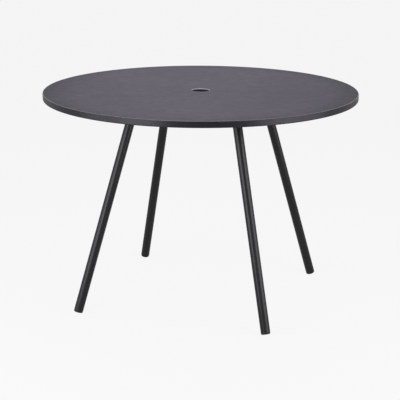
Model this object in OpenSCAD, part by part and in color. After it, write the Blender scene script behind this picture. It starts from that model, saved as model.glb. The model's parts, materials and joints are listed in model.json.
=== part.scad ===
// Round outdoor dining table: a pressed steel top with a parasol hole, on four splayed tube legs.
// The origin is on the ground under the middle of the top, and +Z points up.

/* [Table] */
// Height of the top face above the ground
table_h = 750; // [700:5:790]
// Diameter of the top over its rim
top_d = 1100; // [1000:10:1300]
// Distance across opposite legs on the ground
foot_spread = 958; // [860:2:980]
// Distance across opposite legs where they meet their mounting plates
leg_spread = 506; // [460:2:560]

/* [Top] */
// Thickness of the sheet
sheet_t = 2; // [1.5:0.1:2.5]
// Outer radius of every bend in the sheet
bend_r = 3; // [2.75:0.25:5]
// Height of the turned-down rim
rim_h = 22; // [18:0.5:30]
// Width of the hem turned in under the rim
hem_w = 12; // [8:0.5:20]
// Diameter of the parasol hole
hole_d = 60; // [50:1:70]
// Depth of the lip turned down around the parasol hole
lip_h = 7; // [6:0.5:12]

/* [Underframe] */
// Thickness of the rubber pads between the sheet and the arms
pad_t = 1.5; // [1:0.25:3]
// Diameter of a rubber pad
pad_d = 26; // [20:1:32]
// Wall of the hub tube
hub_t = 4; // [3:0.5:6]
// Diameter of the plate that ties the arms together under the hub
hub_plate_d = 200; // [160:5:220]
// Thickness of that plate
hub_plate_t = 3; // [2:0.5:5]
// Width of an arm
arm_w = 40; // [34:1:50]
// Height of an arm between the hub and its leg
arm_h = 20; // [18:0.5:30]
// Height of an arm at its tip
arm_tip_h = 12; // [8:0.5:16]
// Sheet thickness of an arm
arm_t = 2.5; // [2:0.25:3]
// Outer radius of an arm's bends
arm_r = 5; // [4:0.25:7]
// Distance from the middle of the table to the tip of an arm
arm_reach = 455; // [420:5:480]

/* [Leg mounting] */
// Thickness of the plate welded under an arm
seat_t = 5; // [4:0.5:8]
// How far that plate stands out around the leg's plate
seat_edge = 4; // [2:0.5:8]
// Length of the plate on top of a leg, measured along the arm
flange_l = 96; // [84:1:110]
// How far the leg's plate reaches past the arm on each side
wing_w = 25; // [22:0.5:32]
// Thickness of the leg's plate
flange_t = 5; // [4:0.5:8]
// Corner radius of the leg's plate
flange_r = 12; // [6:0.5:16]
// Distance from the ends of the leg's plate to its bolts
bolt_edge = 12; // [10:0.5:16]
// Thread diameter of the leg bolts
bolt_d = 8; // [6:1:10]

/* [Leg] */
// Outside diameter of a leg
leg_d = 32; // [28:0.5:36]
// Wall of a leg
leg_t = 2; // [1.5:0.25:3]

/* [Foot] */
// Diameter of the levelling pad
glide_d = 31; // [24:0.5:32]
// Thickness of the levelling pad
glide_h = 4.5; // [4:0.25:8]
// Radius around the pad's lower edge
glide_r = 1.75; // [1:0.25:2.5]
// Thread diameter of the levelling screw
screw_d = 8; // [6:1:10]
// Length of the levelling screw above its pad
screw_l = 28; // [24:1:36]
// Thickness of the insert's rim, which covers the end of the tube
insert_rim_t = 1.5; // [1:0.25:3]
// Length of the insert inside the tube
insert_l = 24; // [20:1:32]
// Depth of the ribs that grip the inside of the tube
rib_depth = 2; // [1.5:0.25:3]
// Number of those ribs
rib_count = 4; // [3:1:6]

/* [Top fixings] */
// Thread diameter of the studs welded under the sheet
stud_d = 6; // [5:1:8]
// Distance from the ends of an arm's taper to the studs there
stud_edge = 28; // [22:1:36]

/* [Clearances] */
// Gap all round between the lip and the hub tube
lip_gap = 1; // [0.5:0.25:2]
// Gap all round a bolt or stud in a plain hole
hole_gap = 0.5; // [0.25:0.25:1]
// Gap all round a thread in its nut or insert
thread_gap = 0.05; // [0.02:0.01:0.1]
// Gap between a levelling pad and its insert when it is screwed right in
seat_gap = 0.3; // [0.2:0.1:0.5]

/* [Hidden] */
$fn = 96;
cut = 1;

// Where each leg and arm stands, as an angle about the table's axis
front_right_angle = -45;
back_right_angle = 45;
back_left_angle = 135;
front_left_angle = 225;
CORNERS = [front_right_angle, back_right_angle, back_left_angle, front_left_angle];

// Colours of the finishes
coat_top = "#5A5962";
coat_frame = "#3A3A3D";
nylon = "#141416";
zinc = "#B4B6B9";
rubber = "#1E1E1F";

// Top sheet
top_r = top_d / 2;
hole_r = hole_d / 2;
sheet_z = table_h - sheet_t;

// Underframe, from the pads downwards
arm_z = sheet_z - pad_t;
seat_z = arm_z - arm_h - seat_t;
flange_z = seat_z - flange_t;
hub_r = hole_r + sheet_t + lip_gap + hub_t;
taper_start = leg_spread / 2 + flange_l / 2 + 2 * seat_edge;

// Leg mounting
seat_r = leg_spread / 2;
flange_w = arm_w + 2 * wing_w;
bolt_x = flange_l / 2 - bolt_edge;
bolt_y = arm_w / 2 + wing_w / 2;

// Leg axis: its slope, and the middle of the pad's underside on it
foot_r = foot_spread / 2;
splay = atan((foot_r - seat_r) / flange_z);
glide_z = (glide_d / 2 - glide_r) * sin(splay) + glide_r * (1 - cos(splay));
glide_x = foot_r - glide_z * tan(splay);
insert_s = glide_h + seat_gap;
tube_s = insert_s + insert_rim_t;

// Standard hardware, as multiples of the thread's diameter
function hex_d(d) = 1.625 * d / cos(30);
function nut_h(d) = 0.8 * d;
function head_h(d) = 0.66 * d;
function washer_d(d) = 2 * d;
function washer_t(d) = 0.2 * d;
glide_head_h = glide_h / 2;

// Radii of the studs along an arm
stud_places = [
    (hub_plate_d / 2 + seat_r - flange_l / 2 - seat_edge) / 2,
    taper_start + stud_edge,
    arm_reach - stud_edge
];

// A quarter turn of the sheet, in the profile's plane
module sheet_bend(x, z, turn) {
    translate([x, z])
        rotate(turn)
            intersection() {
                difference() {
                    circle(r = bend_r);
                    circle(r = bend_r - sheet_t);
                }
                square(bend_r);
            }
}

// A rectangle that hangs below y = 0, with its two upper corners rounded
module hanging_section(w, h, r) {
    translate([-w / 2, -h])
        square([w, h - r]);
    translate([r - w / 2, -r])
        square([w - 2 * r, r]);
    for (x = [r - w / 2, w / 2 - r])
        translate([x, -r])
            circle(r = r);
}

// A flat plate with rounded corners, centred on its own middle
module rounded_plate(l, w, t, r) {
    linear_extrude(t) {
        square([l - 2 * r, w], center = true);
        square([l, w - 2 * r], center = true);
        for (x = [r - l / 2, l / 2 - r], y = [r - w / 2, w / 2 - r])
            translate([x, y])
                circle(r = r);
    }
}

// Sweeps a section drawn across the arm from the table's axis outwards
module along_arm(length) {
    rotate([90, 0, 90])
        linear_extrude(length)
            children();
}

// Places children at the four bolts of a leg's plate
module at_bolts() {
    for (x = [-bolt_x, bolt_x], y = [-bolt_y, bolt_y])
        translate([seat_r + x, y])
            children();
}

// Places children at the studs of one arm
module at_studs() {
    for (x = stud_places)
        translate([x, 0])
            children();
}

// Repeats children at all four arms
module at_corners() {
    for (a = CORNERS)
        rotate(a)
            children();
}

// Puts children on a leg's axis, with their zero at the underside of the pad
module on_leg() {
    translate([glide_x, 0, glide_z])
        rotate([0, -splay, 0])
            children();
}

// A ring, such as a washer or a pad
module ring(outer, inner, t) {
    difference() {
        cylinder(d = outer, h = t);
        translate([0, 0, -cut])
            cylinder(d = inner, h = t + 2 * cut);
    }
}

// A hexagon nut
module nut(d) {
    difference() {
        cylinder(d = hex_d(d), h = nut_h(d), $fn = 6);
        translate([0, 0, -cut])
            cylinder(r = d / 2 + thread_gap, h = nut_h(d) + 2 * cut);
    }
}

// Pressed sheet with a turned-down rim, a hem under it, and a lip around the parasol hole
module table_top() {
    color(coat_top)
        rotate_extrude($fn = 180) {
            translate([hole_r + bend_r, sheet_z])
                square([top_r - hole_r - 2 * bend_r, sheet_t]);
            sheet_bend(top_r - bend_r, table_h - bend_r, 0);
            translate([top_r - sheet_t, table_h - rim_h + bend_r])
                square([sheet_t, rim_h - 2 * bend_r]);
            sheet_bend(top_r - bend_r, table_h - rim_h + bend_r, -90);
            translate([top_r - hem_w, table_h - rim_h])
                square([hem_w - bend_r, sheet_t]);
            sheet_bend(hole_r + bend_r, table_h - bend_r, 90);
            translate([hole_r, table_h - lip_h])
                square([sheet_t, lip_h - bend_r]);
        }
}

// Short tube that the arms are welded to, and that the lip and the parasol pole drop into
module hub_tube() {
    color(coat_frame)
        translate([0, 0, arm_z - arm_h - hub_plate_t])
            ring(2 * hub_r, 2 * (hub_r - hub_t), arm_h + hub_plate_t);
}

// Round plate that closes the undersides of the arms around the hub
module hub_plate() {
    color(coat_frame)
        translate([0, 0, arm_z - arm_h - hub_plate_t])
            ring(hub_plate_d, 2 * hub_r, hub_plate_t);
}

// Folded channel, open below, that tapers past its leg and has a flap folded over its tip
module arm(angle) {
    color(coat_frame)
        rotate(angle)
            translate([0, 0, arm_z])
                difference() {
                    intersection() {
                        along_arm(arm_reach)
                            hanging_section(arm_w, arm_h, arm_r);
                        translate([0, arm_w / 2, 0])
                            rotate([90, 0, 0])
                                linear_extrude(arm_w)
                                    polygon([
                                        [0, 0],
                                        [arm_reach, 0],
                                        [arm_reach, -arm_tip_h],
                                        [taper_start, -arm_h],
                                        [0, -arm_h]
                                    ]);
                    }
                    along_arm(arm_reach - arm_t)
                        translate([0, -arm_t])
                            hanging_section(arm_w - 2 * arm_t, arm_h, arm_r - arm_t);
                    translate([0, 0, -arm_h - cut])
                        cylinder(r = hub_r, h = arm_h + 2 * cut);
                    at_studs()
                        translate([0, 0, -arm_t - cut])
                            cylinder(r = stud_d / 2 + hole_gap, h = arm_t + 2 * cut);
                }
}

// Plate welded across the underside of an arm, with a nut welded over each hole
module seat_plate(angle) {
    color(coat_frame)
        rotate(angle)
            translate([0, 0, seat_z])
                difference() {
                    translate([seat_r, 0, 0])
                        rounded_plate(flange_l + 2 * seat_edge, flange_w + 2 * seat_edge, seat_t,
                                      flange_r + seat_edge);
                    at_bolts()
                        translate([0, 0, -cut])
                            cylinder(r = bolt_d / 2 + hole_gap, h = seat_t + 2 * cut);
                }
}

// Plate welded to the top of a leg
module leg_flange(angle) {
    color(coat_frame)
        rotate(angle)
            translate([0, 0, flange_z])
                difference() {
                    translate([seat_r, 0, 0])
                        rounded_plate(flange_l, flange_w, flange_t, flange_r);
                    at_bolts()
                        translate([0, 0, -cut])
                            cylinder(r = bolt_d / 2 + hole_gap, h = flange_t + 2 * cut);
                }
}

// Round tube, square at the foot and mitred level at the top
module leg_tube(angle) {
    color(coat_frame)
        rotate(angle)
            intersection() {
                on_leg()
                    translate([0, 0, tube_s])
                        ring(leg_d, leg_d - 2 * leg_t, table_h / cos(splay));
                translate([0, -leg_d, 0])
                    cube([foot_r + leg_d, 2 * leg_d, flange_z]);
            }
}

// Nylon plug with a threaded bore, held in the tube by its ribs
module foot_insert(angle) {
    tube_bore = leg_d - 2 * leg_t;
    rib_pitch = insert_l / rib_count;
    color(nylon)
        rotate(angle)
            on_leg()
                translate([0, 0, insert_s])
                    difference() {
                        union() {
                            cylinder(d = leg_d, h = insert_rim_t);
                            cylinder(d = tube_bore - 2 * rib_depth, h = insert_rim_t + insert_l);
                            for (i = [0 : rib_count - 1])
                                translate([0, 0, insert_rim_t + i * rib_pitch])
                                    cylinder(d = tube_bore - 2 * thread_gap, h = rib_pitch / 2);
                        }
                        translate([0, 0, -cut])
                            cylinder(r = screw_d / 2 + thread_gap,
                                     h = insert_rim_t + insert_l + 2 * cut);
                    }
}

// Levelling screw, with its head moulded into the pad
module glide_screw(angle) {
    color(zinc)
        rotate(angle)
            on_leg()
                translate([0, 0, glide_h]) {
                    translate([0, 0, -glide_head_h])
                        cylinder(d = hex_d(screw_d), h = glide_head_h, $fn = 6);
                    cylinder(d = screw_d, h = screw_l);
                }
}

// Nylon pad with a rounded lower edge
module glide_pad(angle) {
    color(nylon)
        rotate(angle)
            on_leg()
                difference() {
                    rotate_extrude() {
                        square([glide_d / 2 - glide_r, glide_h]);
                        translate([0, glide_r])
                            square([glide_d / 2, glide_h - glide_r]);
                        translate([glide_d / 2 - glide_r, glide_r])
                            circle(r = glide_r);
                    }
                    translate([0, 0, glide_h - glide_head_h])
                        cylinder(d = hex_d(screw_d), h = glide_head_h + cut, $fn = 6);
                }
}

// Threaded studs welded blind to the underside of the sheet
module top_studs() {
    stud_l = pad_t + arm_t + washer_t(stud_d) + nut_h(stud_d) + stud_d / 3;
    color(zinc)
        at_corners()
            at_studs()
                translate([0, 0, sheet_z - stud_l])
                    cylinder(d = stud_d, h = stud_l);
}

// Rubber rings that keep the sheet off the arms
module top_pads() {
    color(rubber)
        at_corners()
            at_studs()
                translate([0, 0, arm_z])
                    ring(pad_d, stud_d + 2 * hole_gap, pad_t);
}

// Plain washers inside the arms
module top_washers() {
    color(zinc)
        at_corners()
            at_studs()
                translate([0, 0, arm_z - arm_t - washer_t(stud_d)])
                    ring(washer_d(stud_d), stud_d + 2 * hole_gap, washer_t(stud_d));
}

// Nuts that pull the sheet down on its pads
module top_nuts() {
    color(zinc)
        at_corners()
            at_studs()
                translate([0, 0, arm_z - arm_t - washer_t(stud_d) - nut_h(stud_d)])
                    nut(stud_d);
}

// Nuts welded on top of the seat plates, beside the arms
module leg_weld_nuts() {
    color(coat_frame)
        at_corners()
            at_bolts()
                translate([0, 0, seat_z + seat_t])
                    nut(bolt_d);
}

// Washers under the heads of the leg bolts
module leg_washers() {
    color(zinc)
        at_corners()
            at_bolts()
                translate([0, 0, flange_z - washer_t(bolt_d)])
                    ring(washer_d(bolt_d), bolt_d + 2 * hole_gap, washer_t(bolt_d));
}

// Hexagon bolts put in from below
module leg_bolts() {
    head_z = flange_z - washer_t(bolt_d);
    bolt_l = washer_t(bolt_d) + flange_t + seat_t + nut_h(bolt_d) + bolt_d / 4;
    color(zinc)
        at_corners()
            at_bolts()
                translate([0, 0, head_z]) {
                    translate([0, 0, -head_h(bolt_d)])
                        cylinder(d = hex_d(bolt_d), h = head_h(bolt_d), $fn = 6);
                    cylinder(d = bolt_d, h = bolt_l);
                }
}

table_top();
hub_tube();
hub_plate();
arm(front_right_angle);  // arm_front_right
arm(back_right_angle);  // arm_back_right
arm(back_left_angle);  // arm_back_left
arm(front_left_angle);  // arm_front_left
seat_plate(front_right_angle);  // seat_plate_front_right
seat_plate(back_right_angle);  // seat_plate_back_right
seat_plate(back_left_angle);  // seat_plate_back_left
seat_plate(front_left_angle);  // seat_plate_front_left
leg_flange(front_right_angle);  // leg_flange_front_right
leg_flange(back_right_angle);  // leg_flange_back_right
leg_flange(back_left_angle);  // leg_flange_back_left
leg_flange(front_left_angle);  // leg_flange_front_left
leg_tube(front_right_angle);  // leg_tube_front_right
leg_tube(back_right_angle);  // leg_tube_back_right
leg_tube(back_left_angle);  // leg_tube_back_left
leg_tube(front_left_angle);  // leg_tube_front_left
foot_insert(front_right_angle);  // foot_insert_front_right
foot_insert(back_right_angle);  // foot_insert_back_right
foot_insert(back_left_angle);  // foot_insert_back_left
foot_insert(front_left_angle);  // foot_insert_front_left
glide_screw(front_right_angle);  // glide_screw_front_right
glide_screw(back_right_angle);  // glide_screw_back_right
glide_screw(back_left_angle);  // glide_screw_back_left
glide_screw(front_left_angle);  // glide_screw_front_left
glide_pad(front_right_angle);  // glide_pad_front_right
glide_pad(back_right_angle);  // glide_pad_back_right
glide_pad(back_left_angle);  // glide_pad_back_left
glide_pad(front_left_angle);  // glide_pad_front_left
top_studs();
top_pads();
top_washers();
top_nuts();
leg_weld_nuts();
leg_washers();
leg_bolts();
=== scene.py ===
"""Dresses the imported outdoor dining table: camera, studio, coatings and its joints' fine detail."""
import json
import math

import bmesh
import bpy
from mathutils import Matrix, Vector


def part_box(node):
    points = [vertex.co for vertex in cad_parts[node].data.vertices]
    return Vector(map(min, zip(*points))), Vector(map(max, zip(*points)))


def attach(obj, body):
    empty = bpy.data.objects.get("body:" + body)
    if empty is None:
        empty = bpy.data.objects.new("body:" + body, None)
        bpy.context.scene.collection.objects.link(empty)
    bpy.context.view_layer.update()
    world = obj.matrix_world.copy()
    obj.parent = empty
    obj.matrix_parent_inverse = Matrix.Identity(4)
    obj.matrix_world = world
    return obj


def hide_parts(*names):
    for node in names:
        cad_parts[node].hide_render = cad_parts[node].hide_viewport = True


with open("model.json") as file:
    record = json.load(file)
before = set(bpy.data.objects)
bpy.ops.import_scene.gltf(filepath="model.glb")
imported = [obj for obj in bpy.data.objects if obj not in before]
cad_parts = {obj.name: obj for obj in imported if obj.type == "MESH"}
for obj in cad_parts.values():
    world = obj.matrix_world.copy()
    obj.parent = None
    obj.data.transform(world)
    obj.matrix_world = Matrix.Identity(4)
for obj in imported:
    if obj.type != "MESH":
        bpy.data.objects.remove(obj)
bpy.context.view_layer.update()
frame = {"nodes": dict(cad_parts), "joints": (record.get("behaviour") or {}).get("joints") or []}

# The camera: its place in metres, its angles in degrees, its lens and sensor in millimetres.
CAMERA_PLACE = (1.2615, -3.9764, 1.4876)
CAMERA_TURN, CAMERA_DROP, CAMERA_ROLL = 17.612, 15.251, 0.228
CAMERA_LENS, CAMERA_SENSOR = 108.388, 36.0

# Light levels, where 1 is white: the background as seen, the background as a light, and the floor.
BACKGROUND_LEVEL, WORLD_LEVEL, FLOOR_LEVEL = 0.9216, 0.35, 0.934
# The floor: its radius in metres, its number of corners, the share of it that takes the table's
# shadow, and the colour of that share.
FLOOR_REACH, FLOOR_STEPS = 30.0, 96
FLOOR_SHADOW_SHARE, FLOOR_COLOUR = 0.04, (0.86, 0.86, 0.86, 1.0)

# Lamps above: name, place as the camera sees it, width, height, level and colour.
HIGH_LAMPS = (
    ("lamp_overhead", (-0.1, 0.2, 1.95), 1.1, 0.9, 2.4, (0.97, 0.95, 1.0)),
    ("lamp_back", (-0.06, 2.1, 1.735), 1.38, 1.25, 1.5, (0.8, 0.72, 1.0)),
)
HIGH_LAMP_TARGET = (0.0, 0.0, 0.75)

# Lamps on both sides of the camera: name, angle from the camera's own side, width and level.
SIDE_LAMPS = (
    ("lamp_left", -50.0, 2.3, 3.3),
    ("lamp_left_key", -39.0, 0.95, 3.0),
    ("lamp_right", 58.0, 2.1, 3.2),
    ("lamp_right_key", 51.0, 0.85, 2.2),
)
SIDE_LAMP_REACH, SIDE_LAMP_UP, SIDE_LAMP_HEIGHT = 2.0, 0.95, 1.6
SIDE_LAMP_TARGET = (0.0, 0.0, 0.6)

# Places and sizes that the frame's boxes don't give, in metres along and across an arm or a leg.
CORNERS = {"front_right": -45.0, "back_right": 45.0, "back_left": 135.0, "front_left": 225.0}
BOLT_ALONG, BOLT_ASIDE = 0.036, 0.0325
STUDS_ALONG = (0.1505, 0.337, 0.427)
ARM_HALF, ARM_BEND, ARM_WALL = 0.020, 0.005, 0.0025
SEAT_HALF = 0.052
LEG_RADIUS = 0.016
PAD_RADIUS, PAD_EDGE, PAD_HEIGHT = 0.0155, 0.00175, 0.0045

# Section of the pressed top, in metres. The ease rounds the sheet's cut edges, and the guard is a
# narrow flat strip beside a bend, which keeps the bend's shading off the flat faces.
SHEET, BEND, RIM_HEIGHT, HEM_WIDTH = 0.002, 0.003, 0.022, 0.012
HOLE_RADIUS, LIP_HEIGHT = 0.030, 0.007
CUT_EASE, GUARD = 0.0003, 0.0006
OUTER_BEND_STEPS, INNER_BEND_STEPS = 8, 4

# Fasteners, in metres: thread, pitch, threaded length, and the chamfers at the thread's ends.
BOLT_THREAD, BOLT_PITCH, BOLT_THREADED, BOLT_EASE = 0.008, 0.00125, 0.0055, 0.0004
STUD_THREAD, STUD_PITCH, STUD_THREADED, STUD_EASE, STUD_POINT = 0.006, 0.001, 0.008, 0.0004, 0.0003
SCREW_THREAD, SCREW_PITCH, SCREW_LENGTH, SCREW_EASE, SCREW_NECK = 0.008, 0.00125, 0.028, 0.0006, 0.001
THREAD_GAP = 0.00005

# Shares of a fastener's thread: width over flats, heights of a head and a nut, countersink.
FLATS, HEAD_HEIGHT, NUT_HEIGHT, COUNTERSINK_DEPTH = 1.625, 0.66, 0.8, 0.08
# Chamfers: the cones' radii as shares of the width over flats, their slope, and the countersink's
# radius as a share of the bore's.
HEAD_CONE, NUT_CONE, CONE_SLOPE, COUNTERSINK = 0.47, 0.475, 0.5, 1.09
# A thread's depth, and where its crest starts and ends and its root starts, as shares of the pitch.
THREAD_DEPTH, CREST_START, CREST_END, ROOT_START = 0.61, 0.38, 0.5, 0.88

# Welds, in metres: sizes of the beads, length of a ripple, and how deep the beads sit in the metal.
LEG_BEAD, SIDE_BEAD, END_BEAD, NUT_BEAD = 0.0032, 0.0028, 0.0026, 0.0019
RIPPLE, SINK = 0.0019, 0.0001
# Where beads run, in metres: the stitches beside a seat plate, half a bead at a nut, how far the
# end beads pass an arm's wall, and how far the hub's beads stay off the plate and the tube's face.
STITCHES = ((-0.046, -0.018), (0.018, 0.046))
NUT_BEAD_HALF, OVERRUN, HUB_LIFT, HUB_INSET = 0.0028, 0.001, 0.0004, 0.0002
# Shares of a bead's size: flatness of a fillet, height of a cap, depth of the ripples, start of an
# end; and the bow of a ripple as a share of its length.
FILLET_FLATNESS, CAP_HEIGHT, RIPPLE_DEPTH, END_SHARE, RIPPLE_BOW = 0.75, 0.32, 0.07, 0.3, 0.35
BEAD_STEP, BEAD_MIN_STEPS, BEAD_STEPS_ACROSS = 0.0004, 6, 6

# Steps round each shape.
TOP_STEPS, HEX_STEPS, THREAD_STEPS, STUD_STEPS = 360, 72, 24, 20
LEG_BEAD_STEPS, HUB_BEAD_STEPS = 250, 560

# Angles in degrees above which an edge is shaded sharp, and the distances in metres below which
# points are merged and slivers dissolved.
PIECE_CREASE, TOP_CREASE, WELD_CREASE = 35.0, 60.0, 50.0
MERGE_DISTANCE, SLIVER_DISTANCE = 1e-6, 1e-7

UP, DOWN = Vector((0.0, 0.0, 1.0)), Vector((0.0, 0.0, -1.0))

# Powder coat: scales of its noises, depths of its waves and grain, and reach of its thin edges.
CLOUDS, PATCHES, WAVES, GRAIN = 3.2, 38.0, 420.0, 1800.0
WAVE_DEPTH, GRAIN_DEPTH, COAT_EDGE = 0.00006, 0.00007, 0.0012
# Weights of clouds, patches and grain in the coat's tone; the chalk's darkest and lightest shades;
# how far each noise swings the roughness; and how much smoother bends and edges are.
TONE_WEIGHTS, CHALK_SHADES = (0.6, 0.25, 0.15), (0.87, 1.13)
CLOUD_SWING, PATCH_SWING, GRAIN_SWING = 0.025, 0.03, 0.02
BEND_POLISH, EDGE_POLISH = 0.1, 0.06
# Ranges of a normal's Z over which a face turns to the sky, a bend starts, and a bend ends.
SKYWARD, BEND_START, BEND_END = (0.75, 0.98), (0.55, 0.8), (0.999, 0.965)
# Ranges in metres: distance from the axis over which the chalk thins out as a painted shade towards
# the rim, and distance and height of the painted highlight at the parasol hole's rounded edge. The
# share of chalk is what is left at the rim.
RIM_SHADE_REACH, RIM_SHADE_CHALK = (0.46, 0.54), 0.45
HOLE_HIGHLIGHT_REACH, HOLE_HIGHLIGHT_HEIGHT = (0.0326, 0.0318), (0.7462, 0.7472)


# Node helpers

class Tree:
    """Adds nodes to a node tree in short calls, most of which return an output socket."""

    def __init__(self, tree):
        self.tree = tree

    def node(self, kind, settings=(), **inputs):
        """Adds a node of a kind and returns the node itself."""
        made = self.tree.nodes.new(kind)
        for name, value in dict(settings).items():
            setattr(made, name, value)
        for name, value in inputs.items():
            self.feed(made.inputs[name.replace("_", " ")], value)
        return made

    def feed(self, socket, value):
        """Links an output socket to an input, or sets the input to a constant."""
        if isinstance(value, bpy.types.NodeSocket):
            self.tree.links.new(value, socket)
        else:
            socket.default_value = value

    def noise(self, coords, scale, detail, roughness=0.5):
        """A noise of the coordinates, from about 0.3 to 0.7."""
        made = self.node("ShaderNodeTexNoise", Vector=coords, Scale=scale, Detail=detail,
                         Roughness=roughness)
        return made.outputs["Fac"]

    def spread(self, value, low, high, to_low=0.0, to_high=1.0):
        """Maps a value's range from low to high onto another range, and stops at its ends."""
        made = self.node("ShaderNodeMapRange", Value=value, From_Min=low, From_Max=high)
        made.inputs["To Min"].default_value = to_low
        made.inputs["To Max"].default_value = to_high
        return made.outputs["Result"]

    def vary(self, noise, to_low, to_high):
        """Maps a noise's usual range onto another range."""
        return self.spread(noise, 0.3, 0.7, to_low, to_high)

    def math(self, operation, first, second):
        """Adds a math node."""
        made = self.tree.nodes.new("ShaderNodeMath")
        made.operation = operation
        self.feed(made.inputs[0], first)
        self.feed(made.inputs[1], second)
        return made.outputs["Value"]

    def times(self, first, second):
        """Multiplies two values."""
        return self.math("MULTIPLY", first, second)

    def total(self, first, *others):
        """Adds up values in the order given."""
        for other in others:
            first = self.math("ADD", first, other)
        return first

    def mix(self, share, first, second):
        """Mixes two colours."""
        made = self.tree.nodes.new("ShaderNodeMix")
        made.data_type = "RGBA"
        self.feed(made.inputs["Factor"], share)
        for name, value in (("A", first), ("B", second)):
            socket = [s for s in made.inputs if s.name == name and s.type == "RGBA"][0]
            self.feed(socket, value if isinstance(value, bpy.types.NodeSocket) else (*value, 1.0))
        return [s for s in made.outputs if s.type == "RGBA"][0]

    def blend(self, share, first, second):
        """Mixes two shaders."""
        made = self.tree.nodes.new("ShaderNodeMixShader")
        for socket, value in zip(made.inputs, (share, first, second)):
            self.feed(socket, value)
        return made.outputs["Shader"]

    def bump(self, height, distance, normal=None):
        """A normal that a height disturbs by a distance in metres."""
        made = self.node("ShaderNodeBump", Height=height, Distance=distance, Strength=1.0)
        if normal is not None:
            self.feed(made.inputs["Normal"], normal)
        return made.outputs["Normal"]


def new_material(name):
    """A material with its node tree, its shader and the coordinates of its object."""
    material = bpy.data.materials.new(name)
    material.use_nodes = True
    tree = Tree(material.node_tree)
    shader = material.node_tree.nodes["Principled BSDF"]
    coords = tree.node("ShaderNodeTexCoord").outputs["Object"]
    return material, tree, shader, coords


def edge_mask(tree, reach):
    """1 on the edges of a shape, and 0 on its flat sides."""
    rounded = tree.node("ShaderNodeBevel", {"samples": 4}, Radius=reach).outputs["Normal"]
    flat = tree.node("ShaderNodeNewGeometry").outputs["Normal"]
    turn = tree.node("ShaderNodeVectorMath", {"operation": "DOT_PRODUCT"})
    tree.feed(turn.inputs[0], rounded)
    tree.feed(turn.inputs[1], flat)
    return tree.spread(turn.outputs["Value"], 0.995, 0.9)


def axis_distance(tree, coords):
    """The distance from the upright axis through the middle of the table."""
    across = tree.node("ShaderNodeVectorMath", {"operation": "MULTIPLY"})
    tree.feed(across.inputs[0], coords)
    across.inputs[1].default_value = (1.0, 1.0, 0.0)
    reach = tree.node("ShaderNodeVectorMath", {"operation": "LENGTH"})
    tree.feed(reach.inputs[0], across.outputs["Vector"])
    return reach.outputs["Value"]


def hole_edge(tree, coords):
    """1 on the rounded edge of the parasol hole, where a highlight is painted, and 0 elsewhere."""
    near = tree.spread(axis_distance(tree, coords), *HOLE_HIGHLIGHT_REACH)
    height = tree.node("ShaderNodeSeparateXYZ", Vector=coords).outputs["Z"]
    return tree.times(near, tree.spread(height, *HOLE_HIGHLIGHT_HEIGHT))


# Materials

def powder_coat(name, *, dark, light, chalk, worn, roughness, chalk_roughness, specular, tint,
                peel=1.0, bends=0.0, hole_highlight=None):
    """Textured powder coat: fine grain over soft orange peel, thin on edges, chalky towards the sky.

    Only the table's top has a painted highlight on its bends, in its worn colour. Its chalk also thins
    out towards the rim as painted shade, and a painted highlight lightens the edge of its parasol
    hole.
    """
    material, tree, shader, coords = new_material(name)
    normal = tree.node("ShaderNodeTexCoord").outputs["Normal"]
    facing = tree.node("ShaderNodeSeparateXYZ", Vector=normal).outputs["Z"]
    sky = tree.spread(facing, *SKYWARD)
    cloud, patch = tree.noise(coords, CLOUDS, 3.0), tree.noise(coords, PATCHES, 3.0)
    grain = tree.noise(coords, GRAIN, 2.0)

    # Where the coat is thin on edges, and where the upper part of bends gets a painted highlight.
    bent = tree.times(tree.spread(facing, *BEND_START), tree.spread(facing, *BEND_END))
    bend_highlight = tree.times(bent, tree.vary(patch, 0.8 * bends, bends))
    edges = tree.times(edge_mask(tree, COAT_EDGE), tree.spread(patch, 0.35, 0.7, 0.15, 0.7))

    # Colour
    noises = zip((cloud, patch, grain), TONE_WEIGHTS)
    tone = tree.total(*(tree.times(noise, weight) for noise, weight in noises))
    shade = tree.spread(tone, 0.35, 0.65)
    chalky = tree.mix(shade, *([factor * part for part in chalk] for factor in CHALK_SHADES))
    chalk_and_rim_shade = sky
    if hole_highlight:
        # Painted shade: the chalk thins out towards the rim, which darkens the top there.
        rim_shade = tree.spread(axis_distance(tree, coords), *RIM_SHADE_REACH, 1.0, RIM_SHADE_CHALK)
        chalk_and_rim_shade = tree.times(sky, rim_shade)
    colour = tree.mix(chalk_and_rim_shade, tree.mix(shade, dark, light), chalky)
    # Painted highlight: the upper part of the bends takes the worn colour.
    colour = tree.mix(bend_highlight, colour, worn)
    if hole_highlight:
        # Painted highlight: a light colour on the parasol hole's rounded edge.
        share = tree.times(hole_edge(tree, coords), tree.vary(patch, 0.75, 1.0))
        colour = tree.mix(share, colour, hole_highlight)
    tree.feed(shader.inputs["Base Color"], tree.mix(edges, colour, worn))

    # Roughness, a little less on edges and on the bends' painted highlight
    rough = tree.total(tree.vary(patch, -PATCH_SWING, PATCH_SWING),
                       tree.vary(grain, -GRAIN_SWING, GRAIN_SWING),
                       tree.vary(cloud, -CLOUD_SWING, CLOUD_SWING),
                       tree.spread(sky, 0.0, 1.0, roughness, chalk_roughness))
    rough = tree.math("SUBTRACT", rough, tree.times(bend_highlight, BEND_POLISH))
    rough = tree.math("SUBTRACT", rough, tree.times(edges, EDGE_POLISH))
    tree.feed(shader.inputs["Roughness"], rough)

    # Relief
    waves = tree.bump(tree.noise(coords, WAVES, 1.0), WAVE_DEPTH * peel)
    tree.feed(shader.inputs["Normal"], tree.bump(grain, GRAIN_DEPTH * peel, waves))

    # Gloss: less where upright faces are seen at a grazing angle, more on the bends' painted highlight
    grazing = tree.node("ShaderNodeLayerWeight", Blend=0.5).outputs["Facing"]
    calm = tree.math("MAXIMUM", tree.spread(grazing, 0.35, 0.8, 1.0, 0.1), sky)
    gloss = tree.times(calm, tree.spread(bend_highlight, 0.0, 1.0, specular, 1.0))
    tree.feed(shader.inputs["Specular IOR Level"], gloss)
    shader.inputs["Specular Tint"].default_value = (*tint, 1.0)
    return material


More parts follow.
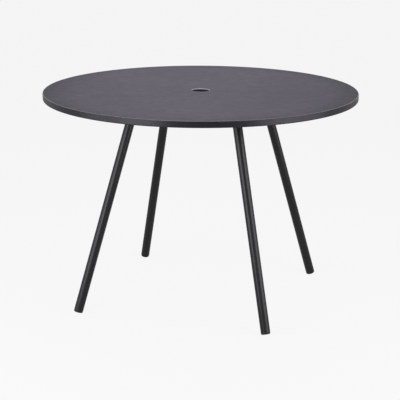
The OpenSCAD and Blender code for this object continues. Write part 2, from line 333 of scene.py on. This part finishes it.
def moulded_nylon(name):
    """Moulded nylon: a fine spark-eroded grain, with scuffs that come and go."""
    material, tree, shader, coords = new_material(name)
    grain = tree.noise(coords, 2600.0, 2.0)
    scuff = tree.noise(coords, 160.0, 4.0, 0.65)
    colour = tree.mix(tree.spread(scuff, 0.35, 0.7), (0.004, 0.004, 0.0042), (0.008, 0.008, 0.0083))
    edges = tree.times(edge_mask(tree, 0.0008), 0.5)
    tree.feed(shader.inputs["Base Color"], tree.mix(edges, colour, (0.03, 0.03, 0.031)))
    tree.feed(shader.inputs["Roughness"], tree.vary(scuff, 0.42, 0.6))
    tree.feed(shader.inputs["Normal"], tree.bump(grain, 0.00006))
    shader.inputs["Specular IOR Level"].default_value = 0.18
    return material


def soft_rubber(name):
    """Black rubber with a dusty bloom."""
    material, tree, shader, coords = new_material(name)
    grain = tree.noise(coords, 1500.0, 3.0)
    bloom = tree.noise(coords, 90.0, 4.0, 0.6)
    colour = tree.mix(tree.spread(bloom, 0.4, 0.75), (0.009, 0.009, 0.009), (0.024, 0.0235, 0.023))
    tree.feed(shader.inputs["Base Color"], colour)
    tree.feed(shader.inputs["Roughness"], tree.vary(bloom, 0.72, 0.88))
    tree.feed(shader.inputs["Normal"], tree.bump(grain, 0.00008))
    shader.inputs["Specular IOR Level"].default_value = 0.3
    return material


def plated_steel(name, *, dark, light, worn, roughness):
    """Plated or blackened steel: blotches of tone, fine machining grain and bright edges."""
    material, tree, shader, coords = new_material(name)
    blotch = tree.noise(coords, 130.0, 4.0, 0.6)
    grain = tree.noise(coords, 3200.0, 2.0)
    colour = tree.mix(tree.spread(blotch, 0.35, 0.7), dark, light)
    edges = tree.times(edge_mask(tree, 0.0006), tree.vary(blotch, 0.3, 0.9))
    tree.feed(shader.inputs["Base Color"], tree.mix(edges, colour, worn))
    rough = tree.total(tree.vary(blotch, roughness - 0.06, roughness + 0.08),
                       tree.vary(grain, -0.03, 0.03))
    tree.feed(shader.inputs["Roughness"], rough)
    tree.feed(shader.inputs["Normal"], tree.bump(grain, 0.00002))
    shader.inputs["Metallic"].default_value = 1.0
    return material


def make_materials():
    """The finish of each slot."""
    return {
        # On the top, the worn colour also paints a highlight on its bends, and the lightest colour
        # paints a highlight on the parasol hole's edge.
        "top_coat": powder_coat(
            "textured_top_coat", dark=(0.0055, 0.0052, 0.0070), light=(0.0075, 0.0071, 0.0095),
            chalk=(0.030, 0.0275, 0.036), worn=(0.09, 0.0873, 0.0981), hole_highlight=(0.22, 0.2167, 0.2266),
            roughness=0.30, chalk_roughness=0.64, specular=0.19, tint=(0.9, 0.87, 1.0), bends=1.0),
        "frame_coat": powder_coat(
            "textured_frame_coat", dark=(0.010, 0.0098, 0.012), light=(0.014, 0.0137, 0.0165),
            chalk=(0.016, 0.0157, 0.019), worn=(0.045, 0.044, 0.048),
            roughness=0.40, chalk_roughness=0.46, specular=0.25, tint=(0.95, 0.93, 1.0)),
        "leg_coat": powder_coat(
            "textured_leg_coat", dark=(0.0055, 0.0055, 0.006), light=(0.008, 0.008, 0.0085),
            chalk=(0.013, 0.013, 0.0137), worn=(0.04, 0.04, 0.042),
            roughness=0.25, chalk_roughness=0.4, specular=0.19, tint=(0.97, 0.96, 1.0), peel=0.8),
        "black_nylon": moulded_nylon("moulded_nylon"),
        "black_rubber": soft_rubber("soft_rubber"),
        "zinc_steel": plated_steel(
            "zinc_plated_steel", dark=(0.42, 0.44, 0.47), light=(0.58, 0.60, 0.62),
            worn=(0.72, 0.73, 0.74), roughness=0.34),
        "black_steel": plated_steel(
            "blackened_steel", dark=(0.035, 0.035, 0.038), light=(0.06, 0.06, 0.064),
            worn=(0.22, 0.22, 0.225), roughness=0.42),
    }


def coat_nodes(materials):
    """Gives every node of the frame the finish of its slot."""
    for node in frame["nodes"].values():
        for place in node.material_slots:
            place.material = materials[place.material.name.split(".")[0]]


# Shapes

def add_object(name, data):
    """Puts a mesh, lamp or camera in the scene."""
    thing = bpy.data.objects.new(name, data)
    bpy.context.scene.collection.objects.link(thing)
    return thing


class Shape:
    """Collects the skins of one piece."""

    def __init__(self):
        self.verts, self.faces = [], []

    def skin(self, rows, place=Matrix.Identity(4)):
        """Joins rows of points, each with the same number, into a skin."""
        start, count = len(self.verts), len(rows[0])
        for row in rows:
            self.verts.extend(place @ Vector(point) for point in row)
        for j in range(len(rows) - 1):
            for i in range(count - 1):
                a = start + j * count + i
                self.faces.append((a, a + 1, a + count + 1, a + count))

    def piece(self, name, materials, slot, body="table", replaced=(), crease=PIECE_CREASE):
        """Makes the collected skins into one piece that rides on a body."""
        mesh = bpy.data.meshes.new(name)
        mesh.from_pydata(self.verts, [], self.faces)
        work = bmesh.new()
        work.from_mesh(mesh)
        bmesh.ops.remove_doubles(work, verts=work.verts, dist=MERGE_DISTANCE)
        bmesh.ops.dissolve_degenerate(work, edges=work.edges, dist=SLIVER_DISTANCE)
        bmesh.ops.recalc_face_normals(work, faces=work.faces)
        work.to_mesh(mesh)
        work.free()
        mesh.shade_smooth()
        mesh.set_sharp_from_angle(angle=math.radians(crease))
        mesh.materials.append(materials[slot])
        thing = add_object(name, mesh)
        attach(thing, body)
        if replaced:
            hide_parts(*replaced)


def circle(radius, z, steps):
    """A closed ring of points about the Z axis, with its first point repeated at its end."""
    turns = [2.0 * math.pi * (i % steps) / steps for i in range(steps + 1)]
    return [(radius * math.cos(turn), radius * math.sin(turn), z) for turn in turns]


def rings(section, steps):
    """A ring for each pair of radius and height."""
    return [circle(reach, z, steps) for reach, z in section]


def hexagon(across_flats, z, cone=None):
    """A ring of points on a hexagon; a cone (radius, slope) cuts its corners back along Z."""
    row = []
    for i in range(HEX_STEPS + 1):
        turn = 2.0 * math.pi * (i % HEX_STEPS) / HEX_STEPS
        from_flat = (turn + math.radians(30.0)) % math.radians(60.0) - math.radians(30.0)
        reach = across_flats / 2.0 / math.cos(math.radians(30.0) - abs(from_flat))
        drop = max(0.0, reach - cone[0]) * cone[1] if cone else 0.0
        row.append((reach * math.cos(turn), reach * math.sin(turn), z + drop))
    return row


def thread(shape, radius, pitch, low, high, place, steps=THREAD_STEPS):
    """Adds a V thread with a flat crest and root, cut off square at both ends; returns its core."""
    core = radius - THREAD_DEPTH * pitch
    profile = ((0.0, core), (CREST_START, radius), (CREST_END, radius), (ROOT_START, core))
    rows = []
    for turn in range(-1, int((high - low) / pitch) + 2):
        for share, reach in profile:
            row = []
            for i in range(steps + 1):
                angle = 2.0 * math.pi * (i % steps) / steps
                z = low + pitch * (turn + share + i / steps)
                reach_here = reach if low < z < high else core
                z = min(max(z, low), high)
                row.append((reach_here * math.cos(angle), reach_here * math.sin(angle), z))
            rows.append(row)
    shape.skin(rows, place)
    return core


# Places

def heights(node):
    """The lowest and the highest level of a node."""
    low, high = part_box(node)
    return low[2], high[2]


def at_corner(corner):
    """A frame in the middle of the table, with X along a corner's arm."""
    return Matrix.Rotation(math.radians(CORNERS[corner]), 4, "Z")


def leg_lean():
    """The angle between a leg and the vertical, from the slide of its levelling pad."""
    joint = next(j for j in frame["joints"] if j["name"] == "glide_front_right_screw")
    return math.acos(-joint["axis"][2])


def seat_middle(corner):
    """How far the middle of a corner's leg plate is from the table's axis."""
    low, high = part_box("leg_flange_" + corner)
    return ((Vector(low) + Vector(high)) / 2.0).xy.length


def on_leg(corner):
    """A frame on a leg's axis, with its zero at the underside of the pad."""
    lean, flange = leg_lean(), heights("leg_flange_" + corner)[0]
    up = (PAD_RADIUS - PAD_EDGE) * math.sin(lean) + PAD_EDGE * (1.0 - math.cos(lean))
    out = seat_middle(corner) + (flange - up) * math.tan(lean)
    return at_corner(corner) @ Matrix.Translation((out, 0.0, up)) @ Matrix.Rotation(-lean, 4, "Y")


def bolt_places():
    """A frame on the axis of each leg bolt."""
    for corner in CORNERS:
        for along in (-BOLT_ALONG, BOLT_ALONG):
            for aside in (-BOLT_ASIDE, BOLT_ASIDE):
                yield at_corner(corner) @ Matrix.Translation((seat_middle(corner) + along, aside, 0.0))


def stud_places():
    """A frame on the axis of each stud under the top."""
    for corner in CORNERS:
        for along in STUDS_ALONG:
            yield at_corner(corner) @ Matrix.Translation((along, 0.0, 0.0))


# Top

def bend(middle_r, middle_z, radius, start, end, steps=OUTER_BEND_STEPS):
    """Points (radius, height) along a bend of the sheet, from one angle to another in degrees."""
    turns = [math.radians(start + (end - start) * i / steps) for i in range(steps + 1)]
    return [(middle_r + radius * math.cos(turn), middle_z + radius * math.sin(turn)) for turn in turns]


def pressed_top(materials):
    """The sheet of the top, turned finely enough for its bends to shine evenly."""
    low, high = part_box("table_top")
    top, out = high[2], high[0]
    inner = BEND - SHEET
    rim, hole = out - BEND, HOLE_RADIUS + BEND
    up, down, lip = top - BEND, top - RIM_HEIGHT + BEND, top - LIP_HEIGHT
    hem = out - HEM_WIDTH
    section = [(HOLE_RADIUS + CUT_EASE, lip), (HOLE_RADIUS, lip + CUT_EASE)]
    section += bend(hole, up, BEND, 180.0, 90.0)
    section += [(hole + GUARD, top), (rim - GUARD, top)]
    section += bend(rim, up, BEND, 90.0, 0.0)
    section += [(out, up - GUARD), (out, down + GUARD)]
    section += bend(rim, down, BEND, 0.0, -90.0)
    section += [(hem + CUT_EASE, down - BEND), (hem, down - BEND + CUT_EASE),
                (hem, down - inner - CUT_EASE), (hem + CUT_EASE, down - inner)]
    section += bend(rim, down, inner, -90.0, 0.0, INNER_BEND_STEPS)
    section += bend(rim, up, inner, 0.0, 90.0, INNER_BEND_STEPS)
    section += [(rim - GUARD, top - SHEET), (hole + GUARD, top - SHEET)]
    section += bend(hole, up, inner, 90.0, 180.0, INNER_BEND_STEPS)
    section += [(HOLE_RADIUS + SHEET, lip + CUT_EASE), (HOLE_RADIUS + SHEET - CUT_EASE, lip)]
    section += [section[0]]
    shape = Shape()
    shape.skin(rings(section, TOP_STEPS))
    shape.piece("pressed_top", materials, "top_coat", replaced=["table_top"], crease=TOP_CREASE)


# Fasteners

def hex_nut(shape, size, low, place):
    """Adds a nut with both faces chamfered and a countersunk bore."""
    flats, high, bore = FLATS * size, low + NUT_HEIGHT * size, size / 2.0 + THREAD_GAP
    cone, sink = NUT_CONE * flats, COUNTERSINK_DEPTH * size
    rows = rings([(bore, low + sink), (COUNTERSINK * bore, low), (cone, low)], HEX_STEPS)
    rows += [hexagon(flats, low, (cone, CONE_SLOPE)), hexagon(flats, high, (cone, -CONE_SLOPE))]
    rows += rings([(cone, high), (COUNTERSINK * bore, high), (bore, high - sink)], HEX_STEPS)
    rows += rows[:1]
    shape.skin(rows, place)


def leg_bolts(materials):
    """Hexagon bolts whose heads face down, with a thread where they come out of their nuts."""
    shape = Shape()
    low, high = heights("leg_bolts")
    radius, flats = BOLT_THREAD / 2.0, FLATS * BOLT_THREAD
    seat, start, cone = low + HEAD_HEIGHT * BOLT_THREAD, high - BOLT_THREADED, HEAD_CONE * flats
    for place in bolt_places():
        rows = rings([(0.0, low), (cone, low)], HEX_STEPS)
        rows += [hexagon(flats, low, (cone, CONE_SLOPE)), hexagon(flats, seat)]
        rows += rings([(radius, seat), (radius, start - BOLT_EASE)], HEX_STEPS)
        shape.skin(rows, place)
        core = thread(shape, radius, BOLT_PITCH, start, high - BOLT_EASE, place)
        neck = [(radius, start - BOLT_EASE), (core, start)]
        point = [(core, high - BOLT_EASE), (core - BOLT_EASE, high), (0.0, high)]
        shape.skin(rings(neck, THREAD_STEPS), place)
        shape.skin(rings(point, THREAD_STEPS), place)
    shape.piece("hex_leg_bolts", materials, "black_steel", replaced=["leg_bolts"])


def weld_nuts(materials):
    """Hexagon nuts on the seat plates."""
    shape, low = Shape(), heights("leg_weld_nuts")[0]
    for place in bolt_places():
        hex_nut(shape, BOLT_THREAD, low, place)
    shape.piece("hex_weld_nuts", materials, "frame_coat", replaced=["leg_weld_nuts"])


def top_fixings(materials):
    """The threaded studs under the top and their nuts."""
    nuts, studs = Shape(), Shape()
    nut_low = heights("top_nuts")[0]
    low, high = heights("top_studs")
    radius, top = STUD_THREAD / 2.0, low + STUD_THREADED
    for place in stud_places():
        hex_nut(nuts, STUD_THREAD, nut_low, place)
        core = thread(studs, radius, STUD_PITCH, low + STUD_EASE, top, place, STUD_STEPS)
        point = [(0.0, low), (core - STUD_POINT, low), (core, low + STUD_EASE)]
        shank = [(core, top), (radius, top + STUD_EASE), (radius, high), (0.0, high)]
        studs.skin(rings(point, STUD_STEPS), place)
        studs.skin(rings(shank, STUD_STEPS), place)
    nuts.piece("hex_top_nuts", materials, "zinc_steel", replaced=["top_nuts"])
    studs.piece("threaded_top_studs", materials, "zinc_steel", replaced=["top_studs"])


def levelling_screws(materials):
    """Threaded screws whose hexagon heads sit in the pads."""
    radius, flats = SCREW_THREAD / 2.0, FLATS * SCREW_THREAD
    cone, head, top = HEAD_CONE * flats, PAD_HEIGHT, PAD_HEIGHT + SCREW_LENGTH
    for corner in CORNERS:
        shape, place = Shape(), on_leg(corner)
        rows = [circle(0.0, head / 2.0, HEX_STEPS), hexagon(flats, head / 2.0)]
        rows += [hexagon(flats, head, (cone, -CONE_SLOPE))]
        rows += rings([(cone, head), (radius, head), (radius, head + SCREW_EASE)], HEX_STEPS)
        shape.skin(rows, place)
        core = thread(shape, radius, SCREW_PITCH, head + SCREW_NECK, top - SCREW_EASE, place)
        neck = [(radius, head + SCREW_EASE), (core, head + SCREW_NECK)]
        point = [(core, top - SCREW_EASE), (core - SCREW_EASE, top), (0.0, top)]
        shape.skin(rings(neck, THREAD_STEPS), place)
        shape.skin(rings(point, THREAD_STEPS), place)
        shape.piece("levelling_screw_" + corner, materials, "zinc_steel", "glide_" + corner,
                    ["glide_screw_" + corner])


# Welds

def fillet_section(t):
    """A slightly convex fillet, between a corner's two sides."""
    angle = math.radians(90.0 * t)
    flat = math.sqrt(0.5) / math.cos(math.radians(45.0) - angle)
    reach = FILLET_FLATNESS * flat + (1.0 - FILLET_FLATNESS)
    return reach * math.cos(angle), reach * math.sin(angle)


def cap_section(t):
    """A low bead laid over a flush joint."""
    return math.cos(math.pi * t), CAP_HEIGHT * math.sin(math.pi * t)


def weld(shape, path, size, section=fillet_section, closed=False):
    """Adds a rippled bead. The path holds points with the directions of the joint's two sides."""
    reach, rows = 0.0, []
    total = sum((b[0] - a[0]).length for a, b in zip(path, path[1:]))
    for n, (point, first, second) in enumerate(path):
        if n:
            reach += (point - path[n - 1][0]).length
        end = 1.0 if closed else min(1.0, END_SHARE + math.sqrt(min(reach, total - reach) / size))
        row = []
        for i in range(BEAD_STEPS_ACROSS + 1):
            t = i / BEAD_STEPS_ACROSS
            x, y = section(t)
            phase = reach / RIPPLE - RIPPLE_BOW * (1.0 - (2.0 * t - 1.0) ** 2)
            scale = size * end * (1.0 + RIPPLE_DEPTH * (phase % 1.0 - 0.5))
            row.append(point + scale * (x * first + y * second) - SINK * (first + second))
        rows.append([*row, point - 2.0 * SINK * (first + second), row[0]])
    if not closed:
        middles = [sum(row[:-1], Vector()) / (len(row) - 1) for row in (rows[0], rows[-1])]
        start, end = ([middle] * len(rows[0]) for middle in middles)
        rows = [start, *rows, end]
    shape.skin(rows)


def straight_weld(shape, place, start, end, first, second, size):
    """Adds a straight bead, whose ends and sides are given in a place's own frame."""
    start, end, turn = Vector(start), Vector(end), place.to_3x3()
    count = max(BEAD_MIN_STEPS, round((end - start).length / BEAD_STEP))
    points = [place @ start.lerp(end, i / count) for i in range(count + 1)]
    weld(shape, [(point, turn @ Vector(first), turn @ Vector(second)) for point in points], size)


def wall_end_weld(shape, place, x, side, z, end):
    """Adds a short bead under an arm's wall, where it crosses the edge of a plate."""
    inner, outer = side * (ARM_HALF - ARM_WALL - OVERRUN), side * (ARM_HALF + OVERRUN)
    straight_weld(shape, place, (x, inner, z), (x, outer, z), (end, 0.0, 0.0), DOWN, END_BEAD)


def leg_welds(materials):
    """A fillet all round each leg, where its mitred end meets the plate."""
    shape, lean = Shape(), leg_lean()
    for corner in CORNERS:
        place, plate = on_leg(corner), heights("leg_flange_" + corner)[0]
        turn, path = place.to_3x3(), []
        for x, y, _ in circle(1.0, 0.0, LEG_BEAD_STEPS):
            side = Vector((LEG_RADIUS * x, LEG_RADIUS * y, 0.0))
            side.z = (plate - place.translation.z - side.x * math.sin(lean)) / math.cos(lean)
            outward = turn @ Vector((x, y, 0.0))
            outward.z = 0.0
            path.append((place @ side, outward.normalized(), turn @ DOWN))
        weld(shape, path, LEG_BEAD, closed=True)
    shape.piece("leg_welds", materials, "frame_coat", crease=WELD_CREASE)


def seat_welds(materials):
    """Stitches along both sides of each arm, and a short bead under each wall at the plate's ends."""
    shape = Shape()
    for corner in CORNERS:
        place, middle = at_corner(corner), seat_middle(corner)
        top = heights("seat_plate_" + corner)[1]
        for side in (-1.0, 1.0):
            for start, end in STITCHES:
                ends = [(middle + along, side * ARM_HALF, top) for along in (start, end)]
                straight_weld(shape, place, *ends, (0.0, side, 0.0), UP, SIDE_BEAD)
            for end in (-1.0, 1.0):
                wall_end_weld(shape, place, middle + end * SEAT_HALF, side, top, end)
    shape.piece("seat_welds", materials, "frame_coat", crease=WELD_CREASE)


def nut_welds(materials):
    """Two short beads at opposite flats of each nut on the seat plates."""
    shape, low = Shape(), heights("leg_weld_nuts")[0]
    flat = FLATS * BOLT_THREAD / 2.0
    for place in bolt_places():
        for side in (-1.0, 1.0):
            ends = [(along, side * flat, low) for along in (-NUT_BEAD_HALF, NUT_BEAD_HALF)]
            straight_weld(shape, place, *ends, (0.0, side, 0.0), UP, NUT_BEAD)
    shape.piece("nut_welds", materials, "frame_coat", crease=WELD_CREASE)


def hub_welds(materials):
    """Beads where the arms meet the hub tube and cross the plate's edge, and round the tube's foot."""
    shape = Shape()
    radius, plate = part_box("hub_tube")[1][0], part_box("hub_plate")
    under, over, edge = plate[0][2], plate[1][2], plate[1][0]
    arm_top = heights("arm_front_right")[1]
    opening = math.asin(ARM_HALF / radius)
    for corner in CORNERS:
        place = at_corner(corner)
        for side in (-1.0, 1.0):
            foot = radius * math.cos(opening), side * ARM_HALF
            along_tube = (-math.sin(opening), side * math.cos(opening), 0.0)
            straight_weld(shape, place, (*foot, over + HUB_LIFT), (*foot, arm_top - ARM_BEND),
                          along_tube, (1.0, 0.0, 0.0), SIDE_BEAD)
            wall_end_weld(shape, place, math.sqrt(edge ** 2 - ARM_HALF ** 2), side, over, 1.0)
    ring = []
    for x, y, _ in circle(1.0, 0.0, HUB_BEAD_STEPS):
        outward = Vector((x, y, 0.0))
        ring.append((outward * (radius - HUB_INSET) + Vector((0.0, 0.0, under)), outward, DOWN))
    weld(shape, ring, END_BEAD, cap_section, closed=True)
    shape.piece("hub_welds", materials, "frame_coat", crease=WELD_CREASE)


# The studio

def seen(across, away, up):
    """A place in the studio, measured across and away as the camera sees the table."""
    return Matrix.Rotation(math.radians(CAMERA_TURN), 3, "Z") @ Vector((across, away, up))


def place_camera():
    """The camera that sees the table as the photo does."""
    camera = bpy.data.cameras.new("camera")
    camera.lens = CAMERA_LENS
    camera.sensor_width = CAMERA_SENSOR
    camera.dof.use_dof = False
    thing = add_object("camera", camera)
    turn = Matrix.Rotation(math.radians(CAMERA_TURN), 4, "Z")
    tip = Matrix.Rotation(math.radians(90.0 - CAMERA_DROP), 4, "X")
    roll = Matrix.Rotation(math.radians(CAMERA_ROLL), 4, "Z")
    thing.matrix_world = Matrix.Translation(CAMERA_PLACE) @ turn @ tip @ roll
    bpy.context.scene.camera = thing


def seen_as_background(tree):
    """1 for rays that meet the plain background, which are those of the camera, gloss and glass."""
    path = tree.node("ShaderNodeLightPath")
    rays = tree.math("MAXIMUM", path.outputs["Is Camera Ray"], path.outputs["Is Glossy Ray"])
    return tree.math("MAXIMUM", rays, path.outputs["Is Transmission Ray"])


def light_world():
    """A plain background that lights the table less than it shows."""
    world = bpy.data.worlds.new("studio")
    world.use_nodes = True
    bpy.context.scene.world = world
    tree = Tree(world.node_tree)
    shade = world.node_tree.nodes["Background"]
    level = tree.spread(seen_as_background(tree), 0.0, 1.0, WORLD_LEVEL, BACKGROUND_LEVEL)
    grey = tree.node("ShaderNodeCombineColor", Red=level, Green=level, Blue=level).outputs["Color"]
    tree.feed(shade.inputs["Color"], grey)
    shade.inputs["Strength"].default_value = 1.0


def lay_floor():
    """A pale floor that runs out of sight, shows the table's soft shadow, and is clear from below."""
    mesh = bpy.data.meshes.new("floor")
    mesh.from_pydata(circle(FLOOR_REACH, 0.0, FLOOR_STEPS)[:-1], [], [tuple(range(FLOOR_STEPS))])
    floor = add_object("floor", mesh)
    material = bpy.data.materials.new("pale_floor")
    material.use_nodes = True
    nodes, tree = material.node_tree.nodes, Tree(material.node_tree)
    nodes.remove(nodes["Principled BSDF"])
    grey = (FLOOR_LEVEL, FLOOR_LEVEL, FLOOR_LEVEL, 1.0)
    plain = tree.node("ShaderNodeEmission", Color=grey, Strength=1.0).outputs["Emission"]
    lit = tree.node("ShaderNodeBsdfDiffuse", Color=FLOOR_COLOUR).outputs["BSDF"]
    clear = tree.node("ShaderNodeBsdfTransparent").outputs["BSDF"]
    share = tree.times(seen_as_background(tree), 1.0 - FLOOR_SHADOW_SHARE)
    below = tree.times(tree.node("ShaderNodeNewGeometry").outputs["Backfacing"],
                       tree.node("ShaderNodeLightPath").outputs["Is Camera Ray"])
    surface = tree.blend(below, tree.blend(share, lit, plain), clear)
    tree.feed(nodes["Material Output"].inputs["Surface"], surface)
    mesh.materials.append(material)


def softbox(name, place, target, width, height, level, colour=(1.0, 1.0, 1.0)):
    """An area lamp whose face shines at a level where 1 is white."""
    lamp = bpy.data.lights.new(name, "AREA")
    lamp.shape = "RECTANGLE"
    lamp.size = width
    lamp.size_y = height
    lamp.energy = level * math.pi * width * height
    lamp.color = colour
    thing = add_object(name, lamp)
    thing.location = place
    thing.rotation_euler = (Vector(target) - Vector(place)).to_track_quat("-Z", "Y").to_euler()
    thing.visible_camera = False


def light_studio():
    """Two lamps above and behind the table, and two on each side of the camera."""
    for name, place, width, height, level, colour in HIGH_LAMPS:
        softbox(name, seen(*place), seen(*HIGH_LAMP_TARGET), width, height, level, colour)
    for name, turn, width, level in SIDE_LAMPS:
        across = SIDE_LAMP_REACH * math.sin(math.radians(turn))
        away = -SIDE_LAMP_REACH * math.cos(math.radians(turn))
        place = seen(across, away, SIDE_LAMP_UP)
        softbox(name, place, SIDE_LAMP_TARGET, width, SIDE_LAMP_HEIGHT, level)


place_camera()
light_world()
lay_floor()
light_studio()
materials = make_materials()
coat_nodes(materials)
for build in (pressed_top, leg_bolts, weld_nuts, top_fixings, levelling_screws,
              leg_welds, seat_welds, nut_welds, hub_welds):
    build(materials)
bpy.context.scene.view_settings.view_transform = "Standard"
